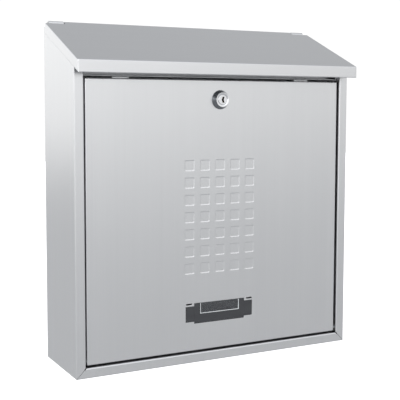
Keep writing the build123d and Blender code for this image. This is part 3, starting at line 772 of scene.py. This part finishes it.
class LETTERBOX_OT_nameplate(bpy.types.Operator):
    """Moulds the name plate with its card pocket, and the clear cover with its bead painted bright as a
    highlight
    """

    bl_idname = "letterbox.nameplate"
    bl_label = "Name plate"

    def execute(self, context):
        plate, finish = context.scene.letterbox_nameplate, context.scene.letterbox_finish
        holder = self.holder(plate)
        coat(holder, smoked_styrene(finish))
        hand_over(holder, "door", "smoked_plastic", "nameplate_holder")
        cover = self.cover(plate)
        coat(cover, clear_acrylic(finish), edge_highlight_acrylic(finish))
        low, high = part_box("nameplate_cover")
        # Faces of the bead take the painted highlight material.
        for face in cover.data.polygons:
            in_bead = (
                abs(face.center.x) > high.x - plate.highlight_bead - HERE or face.center.z < low.z + plate.highlight_bead + HERE
            )
            face.material_index = 1 if in_bead else 0
        hand_over(cover, "door", "clear_cover", "nameplate_cover")
        return {"FINISHED"}

    def holder(self, plate):
        """A flange behind the door, a stepped body in the window, and slopes up to the pocket's rim."""
        low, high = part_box("nameplate_holder")
        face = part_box("door")[0].y
        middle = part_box("door")[0].z + plate.window_rise
        flange_front = high.y - plate.flange
        holder = block("nameplate_moulding", (low.x, flange_front, low.z), high)
        body = Vector((plate.window_width / 2 - plate.fit, plate.window_height / 2 - plate.fit))
        wing = Vector((plate.wing_span / 2 - plate.fit, plate.wing_height / 2 - plate.fit))
        wing_middle = middle - plate.wing_drop
        with editing(holder):
            pick("EDGE", lambda edge: same(edge.verts[0].co.x, edge.verts[1].co.x)
                 and same(edge.verts[0].co.z, edge.verts[1].co.z))
            bpy.ops.mesh.bevel(affect="EDGES", offset=plate.flange_corner, segments=8)
            score(0, -wing.x, -body.x, body.x, wing.x)
            score(2, middle - body.y, wing_middle - wing.y, wing_middle + wing.y, middle + body.y)

            def on_body(centre):
                return abs(centre.x) < body.x and abs(centre.z - middle) < body.y

            def on_wing(centre):
                return abs(centre.x) < wing.x and abs(centre.z - wing_middle) < wing.y

            def front_part(y, inside):
                return lambda part: same(part.calc_center_median().y, y) and inside(part.calc_center_median())

            pick("FACE", front_part(flange_front, lambda centre: on_body(centre) or on_wing(centre)))
            wing_face, body_face = face + plate.wing_recess, face + plate.body_recess
            push(0, wing_face - flange_front, 0)
            pick("FACE", front_part(wing_face, on_body))
            push(0, body_face - wing_face, 0)
            pick("FACE", front_part(body_face, on_body))
            bpy.ops.mesh.dissolve_faces()
            push(0, low.y - body_face, 0)
            bpy.ops.transform.resize(
                value=(plate.pocket_width / 2 / body.x, 1, plate.pocket_height / 2 / body.y),
                center_override=(0, low.y, middle + body.y),
            )
            tidy_normals()
        top = middle + body.y
        pocket = block(
            "pocket",
            (plate.rim - plate.pocket_width / 2, low.y - THROUGH, top - plate.pocket_height + plate.rim),
            (plate.pocket_width / 2 - plate.rim, face + plate.pocket_recess, top + THROUGH),
        )
        combine(holder, pocket, "DIFFERENCE")
        for side in (-1, 1):
            half = Vector((plate.clip_width + plate.fit, 0, plate.clip_height + plate.fit)) / 2
            centre = Vector((side * plate.clip_offset, 0, middle + plate.clip_rise))
            slot = block(
                "clip_slot", centre - half + Vector((0, flange_front - THROUGH / 4, 0)),
                centre + half + Vector((0, high.y + THROUGH, 0)),
            )
            combine(holder, slot, "DIFFERENCE")
        round_edges(holder, plate.edge, 2, 40)
        smooth(holder, 5)
        return holder

    def cover(self, plate):
        """A thin clear strip with a raised bead along its lower edge and its two ends."""
        low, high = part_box("nameplate_cover")
        cover = block("nameplate_window", low, high)
        with editing(cover):
            score(0, low.x + plate.highlight_bead, high.x - plate.highlight_bead)
            score(2, low.z + plate.highlight_bead)

            def in_bead(part):
                centre = part.calc_center_median()
                return same(centre.y, low.y) and (
                    abs(centre.x) > high.x - plate.highlight_bead or centre.z < low.z + plate.highlight_bead
                )

            pick("FACE", in_bead)
            push(0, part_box("nameplate_holder")[0].y - low.y, 0)
            tidy_normals()
        round_edges(cover, plate.edge, 3, 40)
        smooth(cover, 40)
        return cover


class LETTERBOX_OT_lock(bpy.types.Operator):
    """Turns the lock's head with its threaded barrel, and the plug with its keyway"""

    bl_idname = "letterbox.lock"
    bl_label = "Lock"

    def execute(self, context):
        lock, finish = context.scene.letterbox_lock, context.scene.letterbox_finish
        low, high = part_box("lock_body")
        axis = (low + high) / 2
        head = self.head(lock, low, high, axis)
        coat(
            head, chromed_zinc("chromed_zinc_face", axis, 0.08, finish.chrome),
            chromed_zinc("chrome_flank_painted_shade", axis, 0.12, finish.shaded_flank),
        )
        # Only the flat face is bright chrome; the cone and the barrel get a darker copy of the chrome,
        # painted shade for the dark reflections on the cone.
        for face in head.data.polygons:
            within = (face.center - axis).xz.length < lock.face_radius
            face.material_index = 0 if within and face.center.y < low.y + 2 * lock.edge else 1
        hand_over(head, "door", "chrome_zinc", "lock_body")
        plug = self.plug(lock, high.y, axis, finish)
        hand_over(plug, "lock_core", "chrome_zinc", "lock_plug")
        return {"FINISHED"}

    def turn(self, name, profile, axis):
        """Spins a closed profile of (radius, depth) points about the lock's axis."""
        radius, depth = profile[0]
        piece = start_piece(
            name, bpy.ops.mesh.primitive_plane_add, size=MM, location=(axis.x + radius, depth, axis.z)
        )
        with editing(piece):
            bpy.ops.mesh.select_mode(type="VERT")
            bpy.ops.mesh.merge(type="CENTER")
            for (radius, depth), (next_radius, next_depth) in zip(profile, profile[1:] + profile[:1]):
                bpy.ops.mesh.extrude_vertices_move(
                    TRANSFORM_OT_translate={"value": (next_radius - radius, next_depth - depth, 0)}
                )
            bpy.ops.mesh.select_all(action="SELECT")
            bpy.ops.mesh.spin(steps=96, angle=math.radians(360), center=axis, axis=(0, 1, 0))
            tidy_normals()
        return piece

    def head(self, lock, low, high, axis):
        """The cone in front of the door, and the threaded barrel with its two flats behind it."""
        door_low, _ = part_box("door")
        base_radius = high.x - axis.x
        bore = lock.plug_radius + lock.play
        groove = lock.groove
        profile = [
            (bore, high.y), (bore, low.y + groove), (bore + 2 * groove, low.y),
            (lock.face_radius, low.y), (base_radius, door_low.y - 2 * lock.edge), (base_radius, door_low.y),
            (lock.barrel_radius, door_low.y),
        ]
        start = door_low.y + lock.thread_start
        for ring in range(int((high.y - start - lock.thread_depth) / lock.thread_pitch)):
            # A flat crest, down to the root half way along the pitch, and up to the next crest.
            ridge = start + ring * lock.thread_pitch
            profile += [
                (lock.barrel_radius - dip, ridge + lock.thread_pitch * part)
                for part, dip in ((0.2, 0.0), (0.5, lock.thread_depth), (0.8, 0.0))
            ]
        profile += [
            (lock.barrel_radius, high.y - lock.thread_depth), (lock.barrel_radius - lock.thread_depth, high.y)
        ]
        head = self.turn("lock_head", profile, axis)
        for side in (-1, 1):
            flat = axis.z + side * lock.barrel_flats / 2
            beyond = axis.z + side * 2 * lock.barrel_radius
            cutter = block(
                "flat", (axis.x - base_radius, door_low.y, min(flat, beyond)),
                (axis.x + base_radius, high.y + THROUGH, max(flat, beyond)),
            )
            combine(head, cutter, "DIFFERENCE")
        round_edges(head, lock.edge / 2, 3, 28)
        smooth(head, 30)
        return head

    def plug(self, lock, barrel_end, axis, finish):
        """The turning plug with its keyway, its wafer slots, and its tail with the screw's hole."""
        plug_low, plug_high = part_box("lock_plug")
        core_end = barrel_end + lock.plug_overhang
        middle = Vector((axis.x, (plug_low.y + core_end) / 2, axis.z))
        plug = bar("lock_core", middle, lock.plug_radius, core_end - plug_low.y, ALONG_Y, 96)
        coat(plug, chromed_zinc("chromed_zinc_plug", axis, 0.1, finish.chrome))
        with editing(plug):
            pick("EDGE", lambda edge: all_at(edge, 1, plug_low.y))
            bpy.ops.mesh.bevel(affect="EDGES", offset=lock.groove, segments=4)
        half = lock.tail / 2
        tail = block(
            "tail", (axis.x - half, core_end - THROUGH, axis.z - half),
            (axis.x + half, plug_high.y, axis.z + half),
        )
        combine(plug, tail, "UNION")
        # The keyway and the wafer slots are lined with the near-black painted shade.
        dark = shaded_keyway_brass(finish)
        start = Vector((axis.x - lock.key_left + lock.key_width / 2, plug_low.y - THROUGH, axis.z))
        keyway = start_piece(
            "keyway", bpy.ops.mesh.primitive_plane_add, size=1, rotation=ALONG_Y, location=start
        )
        coat(keyway, dark)
        with editing(keyway):
            bpy.ops.transform.resize(value=(lock.key_width, 1, lock.key_height), center_override=start)
            bpy.ops.mesh.subdivide(number_cuts=1)
            pick("VERT", lambda vert: same(vert.co.z, axis.z))
            bpy.ops.transform.translate(value=(-lock.key_kink, 0, 0))
            bpy.ops.mesh.select_all(action="SELECT")
            push(0, lock.key_depth + THROUGH, 0)
            tidy_normals()
        combine(plug, keyway, "DIFFERENCE")
        wafer_low, wafer_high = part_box("lock_wafers")
        gap = lock.wafer_gap
        pitch = (wafer_high.y - wafer_low.y - lock.wafer) / (lock.wafers - 1)
        for wafer in range(lock.wafers):
            front = wafer_low.y + wafer * pitch
            cutter = block(
                "wafer_slot", (wafer_low.x - gap, front - gap / 2, wafer_low.z - gap),
                (wafer_high.x + gap, front + lock.wafer + gap / 2, wafer_high.z + gap),
            )
            coat(cutter, dark)
            combine(plug, cutter, "DIFFERENCE")
        screw_low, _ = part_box("cam_screw")
        cutter = bar(
            "screw_hole", (axis.x, (screw_low.y + plug_high.y + THROUGH) / 2, axis.z), lock.screw_hole,
            plug_high.y - screw_low.y + THROUGH + lock.screw_end, ALONG_Y, 32,
        )
        combine(plug, cutter, "DIFFERENCE")
        smooth(plug, 30)
        return plug


class LETTERBOX_OT_fixings(bpy.types.Operator):
    """Gives the hinge rod, the pins, the cam and the lock's fixings their metal finishes"""

    bl_idname = "letterbox.fixings"
    bl_label = "Hinges and fixings"

    def execute(self, context):
        finish = context.scene.letterbox_finish
        dress(drawn_steel(finish), "lid_hinge_rod", "door_hinge_pin_left", "door_hinge_pin_right")
        dress(zinc_plate(finish), "lock_washer", "lock_nut", "lock_cam", "cam_washer", "cam_screw")
        dress(stamped_brass(finish), "lock_wafers")
        return {"FINISHED"}


class LETTERBOX_OT_bumpers(bpy.types.Operator):
    """Adds the two soft domes that the closed lid rests on"""

    bl_idname = "letterbox.bumpers"
    bl_label = "Bumpers"

    def execute(self, context):
        sizes = context.scene.letterbox_bumpers
        low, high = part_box("lid_bumpers")
        middle = (low + high) / 2
        centre = Vector((high.x - sizes.radius, middle.y, middle.z))
        dome = bar("bumper", centre, sizes.radius, sizes.height, (sizes.slope, 0, 0), 48)
        upwards = Vector((0, -math.sin(sizes.slope), math.cos(sizes.slope)))
        with editing(dome):
            # The upper rim, rolled over nearly the whole height.
            pick("EDGE", lambda edge: all((v.co - centre).dot(upwards) > 0 for v in edge.verts))
            bpy.ops.mesh.bevel(affect="EDGES", offset=sizes.height * 0.8, segments=5)
        alone(dome)
        bpy.ops.object.duplicate(linked=False)
        twin = context.object
        with editing(twin):
            bpy.ops.transform.translate(value=(-2 * centre.x, 0, 0))
        alone(dome)
        twin.select_set(True)
        bpy.ops.object.join()
        dome.name = "lid_bumper_domes"
        smooth(dome, 50)
        coat(dome, soft_rubber(context.scene.letterbox_finish))
        hand_over(dome, "casing", "clear_rubber", "lid_bumpers")
        return {"FINISHED"}


class LETTERBOX_PT_panel(bpy.types.Panel):
    """Lists the letterbox's sizes, colours and pieces"""

    bl_idname = "LETTERBOX_PT_panel"
    bl_label = "Letterbox"
    bl_space_type = "VIEW_3D"
    bl_region_type = "UI"
    bl_category = "Letterbox"

    def draw(self, context):
        for name, group in GROUPS.items():
            box = self.layout.box()
            box.label(text=group.__doc__)
            for field in group.__annotations__:
                box.prop(getattr(context.scene, name), field)
        for step in OPERATORS:
            self.layout.operator(step.bl_idname)


GROUPS = {
    "letterbox_door": LetterboxDoor,
    "letterbox_nameplate": LetterboxNameplate,
    "letterbox_lock": LetterboxLock,
    "letterbox_bumpers": LetterboxBumpers,
    "letterbox_finish": LetterboxFinish,
    "letterbox_studio": LetterboxStudio,
}
OPERATORS = (
    LETTERBOX_OT_stage, LETTERBOX_OT_sheet_metal, LETTERBOX_OT_door, LETTERBOX_OT_nameplate,
    LETTERBOX_OT_lock, LETTERBOX_OT_fixings, LETTERBOX_OT_bumpers,
)


def register():
    for cls in (*GROUPS.values(), *OPERATORS, LETTERBOX_PT_panel):
        bpy.utils.register_class(cls)
    for name, group in GROUPS.items():
        setattr(bpy.types.Scene, name, PointerProperty(type=group))


def unregister():
    for name in GROUPS:
        delattr(bpy.types.Scene, name)
    for cls in (LETTERBOX_PT_panel, *reversed(OPERATORS), *reversed(GROUPS.values())):
        bpy.utils.unregister_class(cls)


def main():
    register()
    bpy.ops.letterbox.stage()
    bpy.ops.letterbox.sheet_metal()
    bpy.ops.letterbox.door()
    bpy.ops.letterbox.nameplate()
    bpy.ops.letterbox.lock()
    bpy.ops.letterbox.fixings()
    bpy.ops.letterbox.bumpers()


if __name__ == "__main__":
    main()
